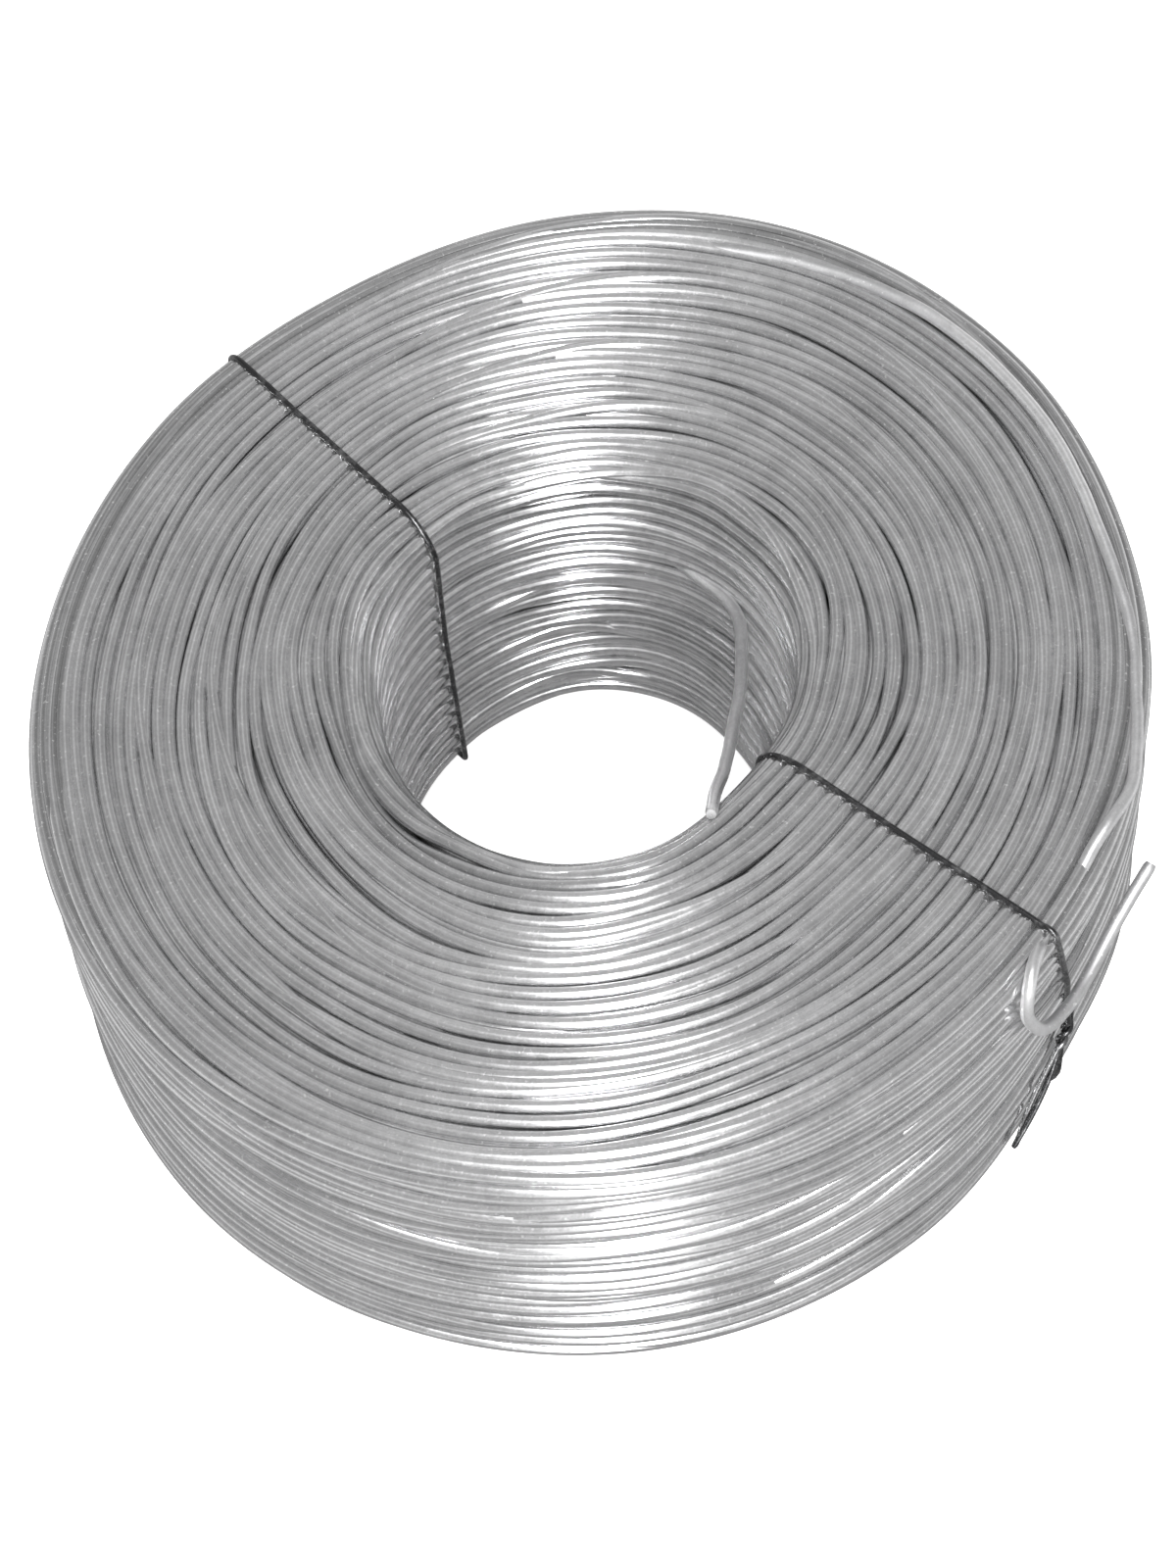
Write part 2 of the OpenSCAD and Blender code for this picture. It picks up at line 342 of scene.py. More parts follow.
def sweepWire(g, given, curve, more=None):  # a round section along the curve, which ends its tree
    section = g.node("GeometryNodeCurvePrimitiveCircle", {"mode": "RADIUS"},
                     {"Resolution": given.at("Sides"), "Radius": given.at("Wire Radius")})
    wire = g.node("GeometryNodeCurveToMesh", None, {"Curve": curve, "Profile Curve": section, **(more or {})})
    smooth = g.node("GeometryNodeSetShadeSmooth", None, {0: wire})
    real = g.node("GeometryNodeRealizeInstances", None, {0: smooth})
    dressed = g.node("GeometryNodeSetMaterial", None, {0: real, "Material": given.at("Material")})
    g.node("NodeGroupOutput", None, {0: dressed})


def storeTone(g, curve, tone):
    return g.node("GeometryNodeStoreNamedAttribute", {"data_type": "FLOAT", "domain": "POINT"},
                  {"Geometry": curve, "Name": "wireTone", "Value": tone})


# how the turns stray: noise cells round the ring, cells from turn to turn, start, detail
drifts = {
    "bundle": (0.9, 0.21, 0.0, 1.0), "wire": (0.9, 9.7, 31.0, 0.0), "lift": (1.3, 6.3, 57.0, 0.0),
    "bundleLift": (0.8, 0.27, 83.0, 0.0),
}
# how their tone varies, from turn to turn and by stretches of a turn
turnTones = {
    "turnStep": 3.7, "turnSpread": 0.3, "turnShare": 0.45, "stretchStep": 5.1, "stretchSpread": 7.0,
    "stretchShare": 0.55,
}
# the turns part by the lip at the front left with painted shade in that groove, and the lip's own turns get
# painted shade at the front
hollow = {
    "radius": 27.8, "half": 2.0, "angle": -143.0, "spread": 6.0, "depth": 2.2, "grooveShade": 0.5,
    "lipRadius": 26.0, "lipFade": 0.8, "lipAngle": -100.0, "lipSpread": 1.5, "lipShade": 0.55,
}


def windingTree():
    tree = newTree("woundTurns", [
        ("Pitch", "Float"), ("Wire Radius", "Float"), ("Bundle Wander", "Float"), ("Wire Wander", "Float"),
        ("Lift Mean", "Float"), ("Lift Range", "Float"), ("Bundle Lift", "Float"), ("Waves", "Float"),
        ("Hollow", "Float"), ("Seed", "Float"), ("Segments", "Int"), ("Sides", "Int"),
        ("Material", "Material")])
    g = Graph(tree)
    given = g.node("NodeGroupInput")
    outline = g.node("GeometryNodeMeshToCurve", None, {0: given.at("Geometry")})
    length = g.node("GeometryNodeCurveLength", None, {0: outline})
    count = g.call("FLOOR", length / given.at("Pitch") + 0.5)
    segments = given.at("Segments")
    circle = g.node("GeometryNodeCurvePrimitiveCircle", {"mode": "RADIUS"}, {"Resolution": segments})
    starts = g.node("GeometryNodePoints", None, {"Count": count})
    copies = g.node("GeometryNodeInstanceOnPoints", None, {"Points": starts, "Instance": circle})
    turns = g.node("GeometryNodeRealizeInstances", None, {0: copies})
    index = g.node("GeometryNodeInputIndex")
    turn = g.call("FLOOR", (index + 0.5) / segments)
    angle = (index - turn * segments) * (2 * math.pi) / segments
    cosine, sine = g.call("COSINE", angle), g.call("SINE", angle)
    waves, seed = given.at("Waves"), given.at("Seed")

    def drift(name):  # closed round the ring, since it is read on a circle
        around, alongTurns, start, detail = drifts[name]
        place = g.join(cosine * waves * around, sine * waves * around, turn * alongTurns + seed + start)
        return (g.noise(place, 1.0, detail) - 0.5) * 2.0

    def towards(middle, spread):  # 1 at one azimuth, 0 on the far side
        a = math.radians(middle)
        return g.call("MAXIMUM", cosine * math.cos(a) + sine * math.sin(a), 0.0) ** spread

    wander = drift("bundle") * given.at("Bundle Wander") + drift("wire") * given.at("Wire Wander")
    lift = (given.at("Lift Mean") + drift("lift") * given.at("Lift Range")
            + drift("bundleLift") * given.at("Bundle Lift"))
    sampled = g.node("GeometryNodeSampleCurve", {"mode": "LENGTH", "use_all_curves": False},
                     {"Curves": outline, "Length": (turn + 0.5) * (length / count) + wander})
    px, _, pz = g.split(sampled.at("Position"))
    tx, _, tz = g.split(sampled.at("Tangent"))
    offMiddle = g.call("ABSOLUTE", px - hollow["radius"] * mm)
    parted = g.call("MAXIMUM", 0.0, 1.0 - offMiddle / (hollow["half"] * mm))
    parted = parted * towards(hollow["angle"], hollow["spread"]) * given.at("Hollow")
    # where the front of the lip gets its painted shade
    lipShadeMask = g.call("MAXIMUM", 0.0, (hollow["lipRadius"] * mm - px) / (hollow["lipFade"] * mm))
    lipShadeMask = g.call("MINIMUM", 1.0, lipShadeMask) * given.at("Hollow")
    lipShadeMask = lipShadeMask * towards(hollow["lipAngle"], hollow["lipSpread"])
    lift = lift - parted * (hollow["depth"] * mm)
    radius = px + tz * lift
    height = g.call("MAXIMUM", pz - tx * lift, given.at("Wire Radius"))
    laid = g.node("GeometryNodeSetPosition", None,
                  {"Geometry": turns, "Position": g.join(radius * cosine, radius * sine, height)})
    look, around = turnTones, turnTones["stretchSpread"]
    turnPlace = g.join(turn * look["turnStep"], seed, cosine * look["turnSpread"])
    stretchPlace = g.join(cosine * around, sine * around, turn * look["stretchStep"] + seed)
    tone = (g.noise(turnPlace, 1.0, 1.0) * look["turnShare"]
            + g.noise(stretchPlace, 1.0, 2.0) * look["stretchShare"])
    # painted shade: a darker tone in the parted groove and on the lip's front turns
    tone = tone - parted * hollow["grooveShade"] - lipShadeMask * hollow["lipShade"]
    sweepWire(g, given, storeTone(g, laid, tone))
    return tree


# noise cells to the metre, and the cut end's share of the radius
looseWire = {"kinkCells": 170.0, "cutSlim": 0.8}


def pathTree(name, paintedTones):  # painted tones are places along the path from 0 to 1, each with its tone, painting highlights and shade along the wire
    tree = newTree(name, [
        ("Wire Radius", "Float"), ("Step", "Float"), ("Kinks", "Float"), ("Cut Bevel", "Float"),
        ("Sides", "Int"), ("Seed", "Float"), ("Material", "Material")])
    g = Graph(tree)
    given = g.node("NodeGroupInput")
    path = g.node("GeometryNodeMeshToCurve", None, {0: given.at("Geometry")})
    evened = g.node("GeometryNodeResampleCurve", {"mode": "LENGTH"},
                    {"Curve": path, "Length": given.at("Step")})
    place = g.node("GeometryNodeInputPosition") + g.join(given.at("Seed"), 0.0, 0.0)
    swing = g.noise(place, looseWire["kinkCells"], 1.0).at(1) - (0.5, 0.5, 0.5)
    kinked = g.node("GeometryNodeSetPosition", None,
                    {"Geometry": evened, "Offset": swing * given.at("Kinks")})
    along = g.node("GeometryNodeSplineParameter")
    fromStart = along.at("Length")
    fromEnd = g.call("MINIMUM", fromStart, g.node("GeometryNodeSplineLength") - fromStart)
    slim = looseWire["cutSlim"] + (1 - looseWire["cutSlim"]) * fromEnd / given.at("Cut Bevel")
    slim = g.call("MINIMUM", 1.0, slim)
    sized = g.node("GeometryNodeSetCurveRadius", None, {"Curve": kinked, "Radius": slim})
    toned = storeTone(g, sized, g.ramp(along.at("Factor"), paintedTones))
    sweepWire(g, given, toned, {"Fill Caps": True, "Scale": g.node("GeometryNodeInputRadius")})
    return tree


# runs a tree on a polyline and gives back the settled plain piece
def grow(name, points, tree, values, shape=settle):
    mesh = bpy.data.meshes.new(name + "Path")
    links = [(i, i + 1) for i in range(len(points) - 1)]
    mesh.from_pydata([tuple(np.asarray(p) * mm) for p in points], links, [])
    source = bpy.data.objects.new(name + "Path", mesh)
    bpy.context.scene.collection.objects.link(source)
    modifier = source.modifiers.new("tree", "NODES")
    modifier.node_group = tree
    for item in tree.interface.items_tree:
        if item.item_type == "SOCKET" and item.in_out == "INPUT" and item.name in values:
            modifier[item.identifier] = values[item.name]
    graph = bpy.context.evaluated_depsgraph_get()
    plain = bpy.data.meshes.new_from_object(
        source.evaluated_get(graph), preserve_all_data_layers=True, depsgraph=graph)
    source.modifiers.clear()
    bpy.data.objects.remove(source)
    plain.name = name
    places = np.empty(len(plain.vertices) * 3)
    plain.vertices.foreach_get("co", places)
    plain.vertices.foreach_set("co", (shape(places.reshape(-1, 3) / mm) * mm).ravel())
    plain.update()
    piece = bpy.data.objects.new(name, plain)
    bpy.context.scene.collection.objects.link(piece)
    print(name, "triangles", sum(len(p.vertices) - 2 for p in plain.polygons))
    return piece


def claim(piece, node):
    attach(piece, "root")
    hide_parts(node)


# Each layer is its name, stretch of the section, depth, pitch, bundle wander, wire wander, lift mean,
# lift range, bundle lift, waves, segments and sides. Lengths are in millimetres.
winding = {
    "layers": [
        ("windingTop", "top", 0.8, 1.56, 1.8, 0.4, -0.12, 0.2, 0.22, 1.2, 256, 9),
        ("windingTopCross", "top", 0.8, 8.0, 3.0, 1.3, 0.0, 0.12, 0.0, 1.0, 256, 9),
        ("windingWall", "wall", 0.8, 2.7, 3.6, 0.9, -0.4, 0.55, 0.5, 1.3, 240, 10),
        ("windingWallCross", "wall", 0.8, 9.0, 9.0, 3.0, -0.1, 0.2, 0.0, 1.0, 240, 10),
        ("windingBoreCross", "bore", 0.8, 12.0, 4.0, 2.0, -0.05, 0.2, 0.0, 1.2, 176, 10),
        ("windingBore", "bore", 0.8, 3.1, 1.6, 0.4, -0.15, 0.15, 0.2, 1.2, 176, 10),
        ("windingFoot", "foot", 0.8, 1.38, 1.3, 0.5, -0.3, 0.4, 0.0, 1.0, 144, 7),
        ("windingTopUnder", "top", 1.55, 1.35, 1.2, 0.35, -0.05, 0.2, 0.0, 1.0, 160, 6),
        ("windingWallUnder", "wall", 1.75, 1.5, 1.2, 0.35, -0.05, 0.2, 0.0, 1.0, 160, 6),
        ("windingBoreUnder", "bore", 1.75, 1.5, 1.2, 0.35, -0.05, 0.2, 0.0, 1.0, 112, 6),
        ("windingRim", "rim", 0.8, 1.0, 0.3, 0.12, -0.05, 0.06, 0.0, 1.0, 256, 8),
    ],
    "wireRadius": 0.8, "rimWidth": 4.4, "seedStep": 11.3,
    # the rim's copy is darker, painted shade, and the bore's copy lighter, painted light
    "coats": {"rim": galvanisedRimShaded, "bore": galvanisedBoreLit},
}


def sectionRun(inset, part):  # one stretch of the section, as (radius, 0, height)
    toe, heelRun, shoulderRun, lipRun = (cornerArc(i, -inset) for i in range(4))
    edge = np.array([ring["topRadius"] - winding["rimWidth"], ring["height"] - inset])
    run = {"top": shoulderRun + lipRun, "wall": heelRun + shoulderRun[:1], "bore": lipRun[-1:] + toe,
           "foot": toe[-1:] + heelRun[:1], "rim": shoulderRun + [edge]}[part]
    return [(q[0], 0.0, q[1]) for q in run]


def makeLayer(tree, seed, layer):
    name, part, depth, pitch, bundle, wire, mean, spread, bundleLift, waves, segments, sides = layer
    piece = grow(name, sectionRun(depth, part), tree, {
        "Pitch": pitch * mm, "Wire Radius": winding["wireRadius"] * mm, "Bundle Wander": bundle * mm,
        "Wire Wander": wire * mm, "Lift Mean": mean * mm, "Lift Range": spread * mm,
        "Bundle Lift": bundleLift * mm, "Waves": waves, "Segments": segments, "Sides": sides,
        "Hollow": 1.0 if part == "top" else 0.0, "Seed": winding["seedStep"] * (seed + 1),
        "Material": winding["coats"].get(part, galvanisedWire)}, settleRim if part == "rim" else settle)
    claim(piece, "wire_coil")


turnsTree = windingTree()
for seed, layer in enumerate(winding["layers"]):
    makeLayer(turnsTree, seed, layer)
print("winding made")


# the imported turns behind the visible ones, in millimetres, in a darker copy of the wire: painted shade
# where the gaps show them
core = {"depth": 3.3, "roundShare": 0.9, "past": 1.6, "shrink": 0.93, "steps": 96, "arcSteps": 4}


def makeCore():
    run = []
    for i, rounding in enumerate(ring["roundings"]):
        inset = min(core["depth"], core["roundShare"] * rounding + core["past"])
        run += cornerArc(i, -inset, core["arcSteps"])
    middle = np.mean(run, axis=0)
    run = [middle + (q - middle) * core["shrink"] for q in run]
    steps, rows = core["steps"], len(run)
    points = [turned(q, 360 * k / steps) for k in range(steps) for q in run]
    faces = [(k * rows + i, ((k + 1) % steps) * rows + i, ((k + 1) % steps) * rows + (i + 1) % rows,
              k * rows + (i + 1) % rows) for k in range(steps) for i in range(rows)]
    mesh = bpy.data.meshes.new("windingCore")
    mesh.from_pydata([tuple(p * mm) for p in settle(points)], [], faces)
    mesh.shade_smooth()
    mesh.materials.append(galvanisedCoreShaded)
    piece = bpy.data.objects.new("windingCore", mesh)
    bpy.context.scene.collection.objects.link(piece)
    claim(piece, "wire_coil")


makeCore()


def smoothPath(points, steps=6):  # a curve through the points
    p = [np.asarray(q, float) for q in points]
    p = [2 * p[0] - p[1]] + p + [2 * p[-1] - p[-2]]
    out = []
    for a, b, c, d in zip(p, p[1:], p[2:], p[3:]):
        for k in range(steps):
            t = k / steps
            out.append(0.5 * (2 * b + (c - a) * t + (2 * a - 5 * b + 4 * c - d) * t * t
                              + (3 * b - a - 3 * c + d) * t ** 3))
    return out + [p[-2]]


def drawWire(name, route, look, paintedTones, seed, coat, shape=settle):
    return grow(name, route, pathTree(name + "Tree", paintedTones), {
        "Wire Radius": look["radius"] * mm, "Step": look["step"] * mm, "Kinks": look["kinks"] * mm,
        "Cut Bevel": look["cutBevel"] * mm, "Sides": look["sides"], "Seed": seed, "Material": coat}, shape)


# The loose ends, in millimetres. A tone is its place along the wire and its brightness, painted highlights
# and painted shade along the ends.
ends = {
    "radius": 0.75, "sides": 14, "step": 0.35, "kinks": 0.25, "cutBevel": 0.45, "lay": 0.83,
    "tieAngle": -41.6, "tuckAngle": 57.0, "overTie": 0.95, "hookZ": 38.9, "hookDrop": 11.5, "tipOut": 2.6,
    "innerZ": 35.6, "innerBow": 6.3, "innerTip": (132.0, -62.0), "tipLift": 0.05,
    "outerPaintedTones": [(0.0, 0.2), (0.14, 0.25), (0.22, 1.0), (0.36, 1.0), (0.43, 0.2), (0.52, 0.3), (0.59, 0.6),
                   (0.65, 0.35), (0.72, 0.5), (0.8, 0.7), (0.86, 0.25), (1.0, 0.15)],
    "innerPaintedTones": [(0.0, 0.3), (0.35, 0.5), (0.6, 0.85), (1.0, 1.0)],
}


def onTop(radius, angle, out):
    return polar(radius, ends["tieAngle"] + angle, ring["height"] + ends["lay"] + out)


def onRim(turn, angle, out):
    reach = ring["roundings"][2] + ends["lay"] + out
    return turned(shoulder + reach * facing(turn), ends["tieAngle"] + angle)


def onWall(part, angle, out):
    z = ends["hookZ"] + part * ends["hookDrop"]
    return polar(outerRadius(z) + ends["lay"] + out, ends["tieAngle"] + angle, z)


def outerRoute():  # along the rim, under the right tie, over the shoulder and back round the tie
    over, tip, tuck = ends["overTie"], ends["tipOut"], ends["tuckAngle"]
    top = [(57.4, 112, -1.7), (57.6, 103, -1.2), (57.9, 95, -0.6), (58.4, 87, -0.15), (58.6, 79, 0.15),
           (58.7, 70, 0.25), (59.0, 62, 0.25), (59.3, 53, 0), (60.1, 43, -0.8)]
    rim = [(80, 36, -1.5), (72, 30, -1.5), (58, 23.5, -0.6), (54, 18.5, 0.1), (70, 13.8, 0), (78, 10.8, -0.8),
           (77, 7.6, -1.9), (tuck + 5, 3, -2.7), (tuck, 0, -2.4), (tuck - 3, -2.2, -1.3), (48, -4.4, -0.2),
           (30, -5.8, 0), (4, -6.4, 0)]
    wall = [(0.76, -6.6, 0.3 * over), (0.52, -6, 0.6 * over), (0.3, -5, 0.9 * over), (0.13, -3.6, over),
            (0.03, -1.6, over), (0, 1.0, over + 0.08), (0, 3.8, over), (0.07, 6.8, over),
            (0.18, 9.8, 0.2 * over + 0.4 * tip), (0.32, 12.8, 0.7 * tip), (0.45, 15.4, tip)]
    return [onTop(*q) for q in top] + [onRim(*q) for q in rim] + [onWall(*q) for q in wall]


# off the bore's wall and across to the front lip: a station is its angle and shares of the bow and the rise
def innerRoute():
    turn, tipAngle = ends["innerTip"]
    tip = lip + (ring["roundings"][3] + ends["lay"] + ends["tipLift"]) * facing(turn)
    stations = [(92, -0.42, 0), (82, -0.42, 0), (72, -0.4, 0), (63, -0.3, 0), (54, -0.08, 0),
                (44, 0.02, 0.01), (35, 0.19, 0.03), (24.5, 0.56, 0.08), (10, 0.86, 0.2), (-4, 1, 0.32),
                (-21, 0.98, 0.46), (-44, 0.56, 0.7), (-55, 0.2, 0.86)]
    base = boreRadius(ends["innerZ"]) - ends["lay"]
    run = [polar(base - bow * ends["innerBow"], angle, ends["innerZ"] + rise * (tip[1] - ends["innerZ"]))
           for angle, bow, rise in stations]
    return run + [turned(tip, tipAngle)]


def makeEnds():
    outer = drawWire("looseOuterEnd", smoothPath(outerRoute()), ends, ends["outerPaintedTones"], 0.3, galvanisedEndLit)
    claim(outer, "outer_end")
    inner = drawWire("looseInnerEnd", smoothPath(innerRoute()), ends, ends["innerPaintedTones"], 0.7, galvanisedEndLit,
                     settleOutside)
    claim(inner, "inner_end")


makeEnds()


# The ties, in millimetres and degrees. A tie's shift is how far round from its shoulder the knot stands.
ties = {
    "radius": 0.36, "sides": 12, "step": 0.25, "kinks": 0.1, "cutBevel": 0.25, "seed": 0.5, "offset": 0.05,
    # the first tail strand is painted light, a painted highlight
    "paintedTones": [(0.0, 0.8), (0.055, 0.8), (0.075, 0.0), (1.0, 0.0)],
    "footZ": 0.65, "slotTop": 1.2, "toeRound": 0.55, "toeTurn": 183.0, "toeSweep": 87.0,
    "heelOut": 0.55, "heelFrom": 1.3,
    "legFoot": 14.0, "legBelow": 7.0, "legSide": 2.6, "bite": 0.5, "joinBelow": 1.0, "joinSink": 0.2,
    "lead": 2.5, "leadLift": 0.1, "humpSink": 1.7, "humpRound": 1.3, "humpHalf": 65.0, "humpRun": 2.6,
    "twistLength": 17.0, "twistLean": 44.0, "twistOff": 0.76, "strandOff": 0.4, "twistPoints": 90,
    "knotTurn": 3.2, "tailTurn": 230.0, "phases": (90.0, 270.0),
    "left": {"node": "left_tie", "angle": 128.4, "miss": 1.8, "shift": 0.0, "knotZ": 46.9, "humped": False},
    "right": {"node": "right_tie", "angle": -41.6, "miss": 2.9, "shift": 5.2, "knotZ": 22.5, "humped": True},
}


def tieAngle(radius, tie):  # the tie's plane misses the ring's axis
    aside = math.asin(tie["miss"] / radius) - math.asin(tie["miss"] / ring["topRadius"])
    return tie["angle"] + math.degrees(aside)


def twistStrand(angle, z, phase):  # one turn in the knot, then a slower twist down the tail
    lean = math.radians(ties["twistLean"])

    def axis(s):
        down = z - s * math.cos(lean)
        around = math.degrees(s * math.sin(lean) / outerRadius(z))
        return polar(outerRadius(down) + ties["twistOff"], angle - around, down)

    strand = []
    for k in range(ties["twistPoints"]):
        s = ties["twistLength"] * k / (ties["twistPoints"] - 1)
        c = axis(s)
        t = unit(axis(s + 0.1) - c)
        u = unit(polar(1, angle, 0) - (polar(1, angle, 0) @ t) * t)
        knotted = 360 * min(s / ties["knotTurn"], 1.0)
        trailing = ties["tailTurn"] * max(s - ties["knotTurn"], 0) / ties["twistLength"]
        a = math.radians(phase + knotted + trailing)
        strand.append(c + ties["strandOff"] * (math.cos(a) * u + math.sin(a) * np.cross(t, u)))
    return strand


def tieTop(tie):  # over the shoulder, and over the tucked strand where the tie holds it
    off = ties["offset"]
    if not tie["humped"]:
        return cornerArc(2, off, 8)
    tuck, half = ends["tuckAngle"], ties["humpHalf"]
    tucked = shoulder + (ring["roundings"][2] + ends["lay"] - ties["humpSink"]) * facing(tuck)
    over = [shoulder + (ring["roundings"][2] + off) * facing(0)]
    over += [tucked + ties["humpRound"] * facing(tuck - half + 2 * half * k / 8) for k in range(9)]
    return over + [np.array([tucked[0] - ties["humpRun"], ring["height"] + off])]


def tieRoute(tie):  # from one tail round the section to the other
    off, knotAngle, z = ties["offset"], tie["angle"] + tie["shift"], tie["knotZ"]
    toeStart = np.array([boreRadius(ties["slotTop"]), ties["slotTop"]])
    toe = [toeStart + ties["toeRound"] * facing(ties["toeTurn"] + ties["toeSweep"] * k / 6) for k in range(7)]
    heelReach = ring["roundings"][1] + ties["heelOut"]
    heelAcross = math.sqrt(heelReach ** 2 - (heel[1] - ties["footZ"]) ** 2)
    heelRun = [np.array([heel[0] + heelAcross, ties["footZ"]])]
    heelRun += [q for q in cornerArc(1, off, 10) if q[1] > ties["heelFrom"]]
    side = knotAngle + math.degrees(ties["legSide"] / outerRadius(z))
    lead, join = z + ties["lead"], z - ties["joinBelow"]
    upper = [turned(q, tieAngle(q[0], tie)) for q in tieTop(tie) + cornerArc(3, off, 8) + toe]
    lower = [turned(q, knotAngle) for q in heelRun]
    lower += [polar(outerRadius(h) + off - ties["bite"], knotAngle + (side - knotAngle) * share, h)
              for h, share in ((ties["legFoot"], 0.5), (z - ties["legBelow"], 1.0))]
    lower += [polar(outerRadius(join) + off - ties["joinSink"], side, join)]
    start = [polar(outerRadius(lead) + off + ties["leadLift"], knotAngle, lead)]
    first, second = (twistStrand(knotAngle, z, phase) for phase in ties["phases"])
    return first[::-1] + start + upper + lower + second


for side in ("left", "right"):
    piece = drawWire(side + "TieWire", tieRoute(ties[side]), ties, ties["paintedTones"], ties["seed"], annealedWire)
    claim(piece, ties[side]["node"])
print("ends and ties made")


# The studio, in metres. The strip of lamps is bent over the ring in the camera's upright plane.
studio = {
    "floorSize": 6.0, "floorTint": grey(0.9), "floorGlow": 0.66, "skyOnFloor": 0.6,
    "floorNear": (0.06, 0.26), "floorFar": (0.2, 0.9),  # distances, and how bright the wire mirrors it there: a painted shadow darkens the mirrored floor near the ring
    "skyInWire": (0.72, 0.33), "skyPower": 3.0,  # mirrored low down and overhead
    "sheen": 1.0, "sheenHalf": 0.5, "sheenPower": 2.0, "sheenFront": (-0.3, 0.3), "sheenBack": 0.35,
    "strip": {"powers": [2.0, 2.6, 3.3, 3.3], "reach": 0.85, "width": 0.035, "start": 15.0, "step": 18.0,
              "target": (0, 0, 0.03), "side": 0.01},
}


def makeFloor():
    half = studio["floorSize"] / 2
    mesh = bpy.data.meshes.new("studioFloor")
    rim = [(-half, -half, 0), (half, -half, 0), (half, half, 0), (-half, half, 0)]
    mesh.from_pydata(rim, [], [(0, 1, 2, 3)])
    floor = bpy.data.objects.new("studioFloor", mesh)
    bpy.context.scene.collection.objects.link(floor)
    material, g = newMaterial("studioFloorPaint")
    rays = g.node("ShaderNodeLightPath")
    paint = g.node("ShaderNodeBsdfDiffuse", None, {"Color": studio["floorTint"]})
    glow = g.node("ShaderNodeEmission", None, {"Color": grey(1), "Strength": studio["floorGlow"]})
    both = g.node("ShaderNodeAddShader", None, {0: paint, 1: glow})
    place = g.node("ShaderNodeTexCoord").at("Object")
    away = g.node("ShaderNodeVectorMath", {"operation": "LENGTH"}, {0: place}).at("Value")
    (near, nearGlow), (far, farGlow) = studio["floorNear"], studio["floorFar"]
    # the floor mirrored in the wire is darker near the ring, a painted shadow
    paintedShadowGlow = g.node("ShaderNodeMapRange", None, {0: away, 1: near, 2: far, 3: nearGlow, 4: farGlow})
    mirrored = g.node("ShaderNodeEmission", None, {"Color": grey(1), "Strength": paintedShadowGlow})
    shown = g.node("ShaderNodeMixShader", None, {0: rays.at("Is Glossy Ray"), 1: both, 2: mirrored})
    g.node("ShaderNodeOutputMaterial", None, {"Surface": shown})
    mesh.materials.append(material)


def makeWorld():
    world = bpy.data.worlds.new("studioWorld")
    world.use_nodes = True
    g = Graph(world.node_tree)
    rays = g.node("ShaderNodeLightPath")
    across, away, up = g.split(g.node("ShaderNodeTexCoord").at("Generated"))  # the sky's own directions
    low, high = studio["skyInWire"]
    mirrored = high + (low - high) * (1 - up) ** studio["skyPower"]
    sheen = g.call("MAXIMUM", 0.0, 1.0 - g.call("ABSOLUTE", across) / studio["sheenHalf"])
    start, end = studio["sheenFront"]
    frontal = g.node("ShaderNodeMapRange", {"interpolation_type": "SMOOTHSTEP"},
                     {0: away * -1.0, 1: start, 2: end, 3: studio["sheenBack"]})
    mirrored = mirrored + sheen ** studio["sheenPower"] * frontal * studio["sheen"]
    strength = (mirrored * rays.at("Is Glossy Ray") + studio["skyOnFloor"] * rays.at("Is Diffuse Ray")
                + rays.at("Is Camera Ray"))
    sky = g.node("ShaderNodeBackground", None, {"Color": grey(1), "Strength": strength})
    g.node("ShaderNodeOutputWorld", None, {"Surface": sky})
    bpy.context.scene.world = world


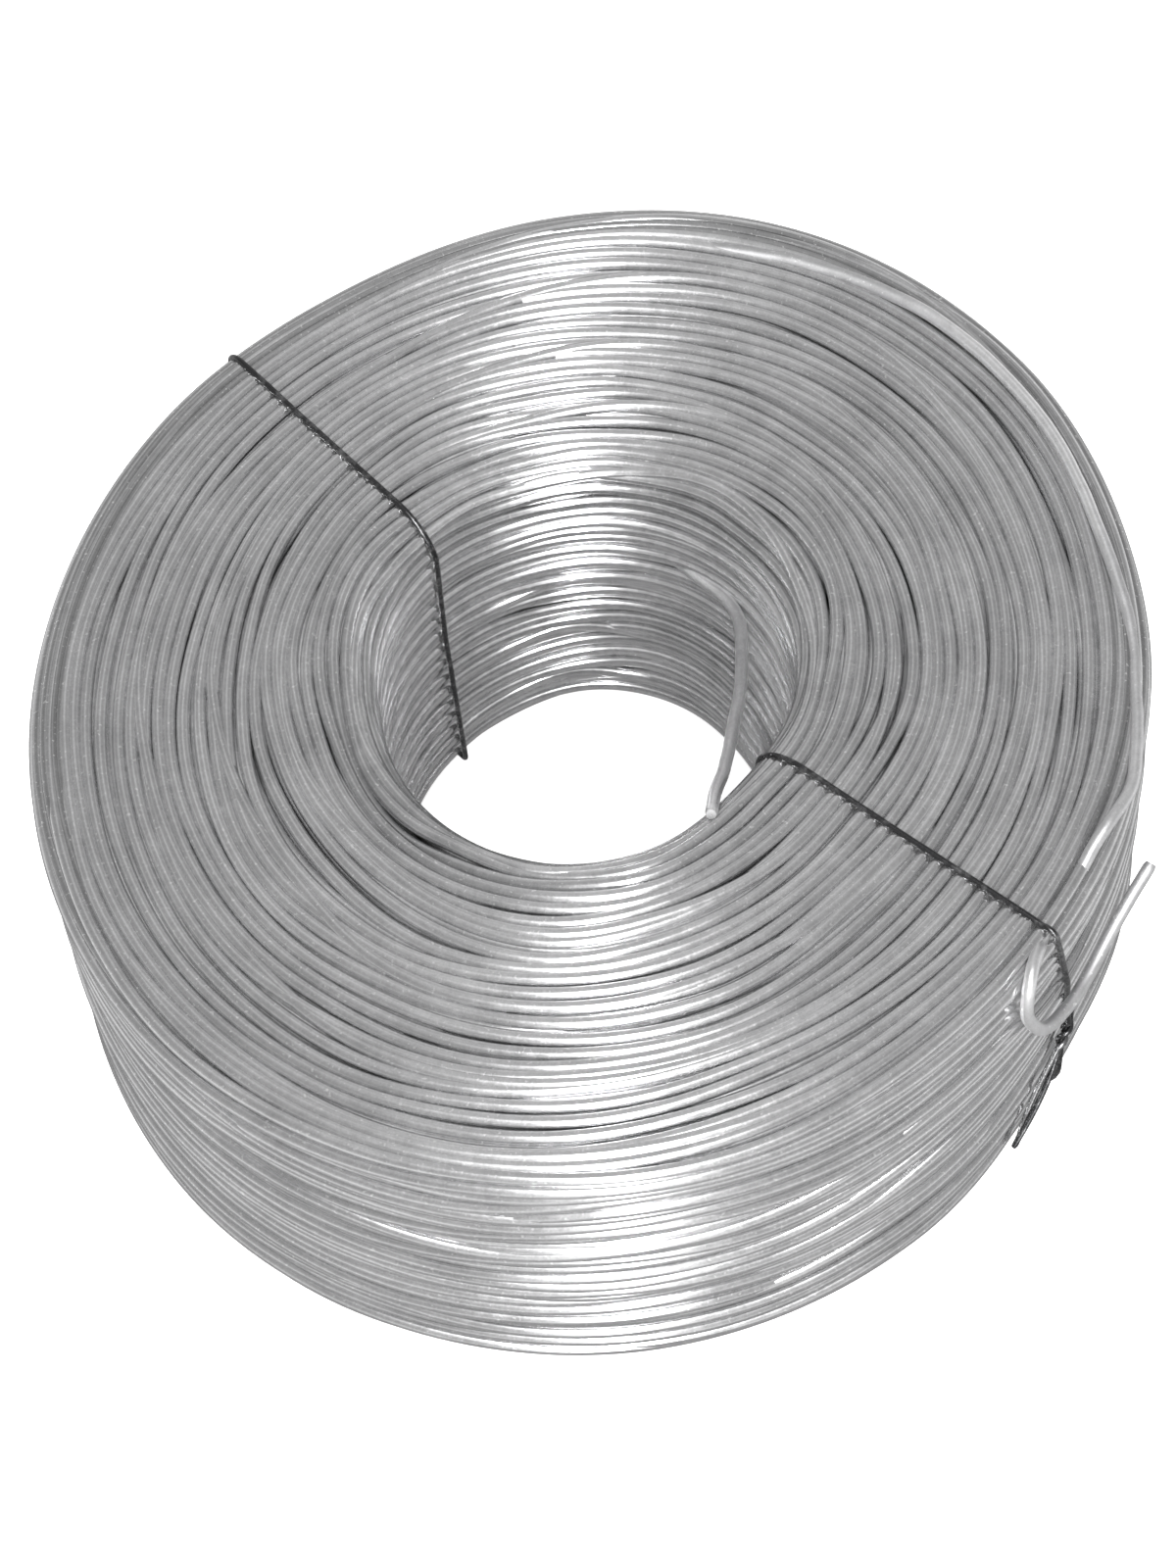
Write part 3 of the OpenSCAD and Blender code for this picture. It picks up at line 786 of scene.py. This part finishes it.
def addLamp(name, place, target, sizeX, sizeY, power):
    lamp = bpy.data.lights.new(name, "AREA")
    lamp.shape = "RECTANGLE"
    lamp.size, lamp.size_y, lamp.energy = sizeX, sizeY, power
    holder = bpy.data.objects.new(name, lamp)
    bpy.context.scene.collection.objects.link(holder)
    holder.location = place
    holder.rotation_euler = (Vector(target) - Vector(place)).to_track_quat("-Z", "Y").to_euler()


def addStrip():
    strip = studio["strip"]
    reach, target, step = strip["reach"], strip["target"], math.radians(strip["step"])
    for k, power in enumerate(strip["powers"]):
        rise = math.radians(strip["start"]) + k * step
        place = (strip["side"], -reach * math.cos(rise), target[2] + reach * math.sin(rise))
        addLamp("strip" + str(k), place, target, strip["width"], reach * step, power)


# the photograph's camera: angles in degrees, distance in millimetres, the rest in the photograph's pixels
view = {
    "elevation": 60.404, "roll": -6.5, "distance": 388.17, "focal": 3363.1, "centre": (610.74, 790.70),
    "picture": (1200, 1600), "sensor": 36.0, "clip": 0.01,
}


def makeCamera():
    e, roll = math.radians(view["elevation"]), math.radians(view["roll"])
    back = Vector((0, -math.cos(e), math.sin(e)))
    right = Vector((1, 0, 0))
    up = back.cross(right)
    across = right * math.cos(roll) + up * math.sin(roll)
    upright = up * math.cos(roll) - right * math.sin(roll)
    wide, tall = view["picture"]
    camera = bpy.data.cameras.new("photoCamera")
    camera.sensor_width = view["sensor"]
    camera.lens = view["focal"] / tall * view["sensor"]
    camera.shift_x = -(view["centre"][0] - wide / 2) / tall
    camera.shift_y = (view["centre"][1] - tall / 2) / tall
    camera.clip_start = view["clip"]
    holder = bpy.data.objects.new("photoCamera", camera)
    bpy.context.scene.collection.objects.link(holder)
    place = back * (view["distance"] * mm) + Vector((0, 0, ring["height"] / 2 * mm))
    turn = Matrix((across, upright, back)).transposed().to_4x4()
    holder.matrix_world = Matrix.Translation(place) @ turn
    bpy.context.scene.camera = holder


makeFloor()
makeWorld()
addStrip()
makeCamera()
bpy.context.scene.view_settings.view_transform = "Standard"
print("studio made")
